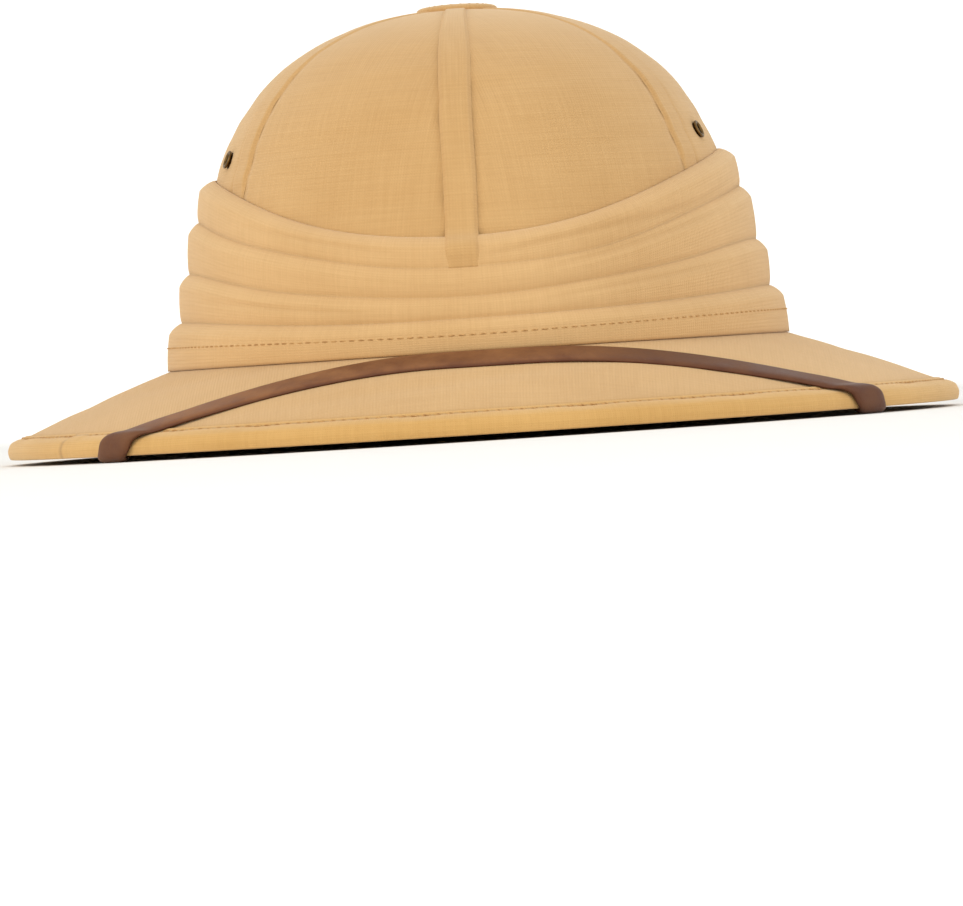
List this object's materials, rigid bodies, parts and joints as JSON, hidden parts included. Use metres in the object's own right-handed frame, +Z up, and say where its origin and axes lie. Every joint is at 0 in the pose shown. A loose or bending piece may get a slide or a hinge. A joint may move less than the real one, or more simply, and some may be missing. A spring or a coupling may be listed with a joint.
{
  "type": "pith helmet",
  "caption": "Cloth-covered pith helmet with a six-gore domed crown, pleated band, sloping bound brim and leather chin strap.",
  "frame": {"origin": "below the centre of the brim's outline, on the surface that the helmet rests on", "axes": "-Y towards the helmet's front, +Z up, +X to the left of a wearer and the right of someone who faces the helmet"},
  "size_m": [0.2994, 0.344, 0.1359],
  "materials": {
    "tan_cotton": "plain woven tan cotton, matte",
    "lining_cotton": "plain woven beige cotton, matte",
    "pith_board": "pressed pith board, matte",
    "brown_leather": "smooth brown leather, satin",
    "dark_brass": "darkened brass, satin"
  },
  "bodies": {
    "root": {"shell": "pith_board", "puggaree": "tan_cotton", "top_button": "tan_cotton", "brim_cover": "tan_cotton", "edge_binding": "tan_cotton", "brim_lining": "lining_cotton", "chin_strap": "brown_leather", "crown_panel_1": "tan_cotton", "crown_panel_2": "tan_cotton", "crown_panel_3": "tan_cotton", "crown_panel_4": "tan_cotton", "crown_panel_5": "tan_cotton", "crown_panel_6": "tan_cotton", "crown_rib_front": "tan_cotton", "crown_rib_2": "tan_cotton", "crown_rib_3": "tan_cotton", "crown_rib_4": "tan_cotton", "crown_rib_5": "tan_cotton", "crown_rib_6": "tan_cotton", "eyelet_1": "dark_brass", "eyelet_2": "dark_brass", "eyelet_3": "dark_brass", "eyelet_4": "dark_brass", "strap_pin_left": "dark_brass", "strap_pin_right": "dark_brass"}
  },
  "joints": []
}
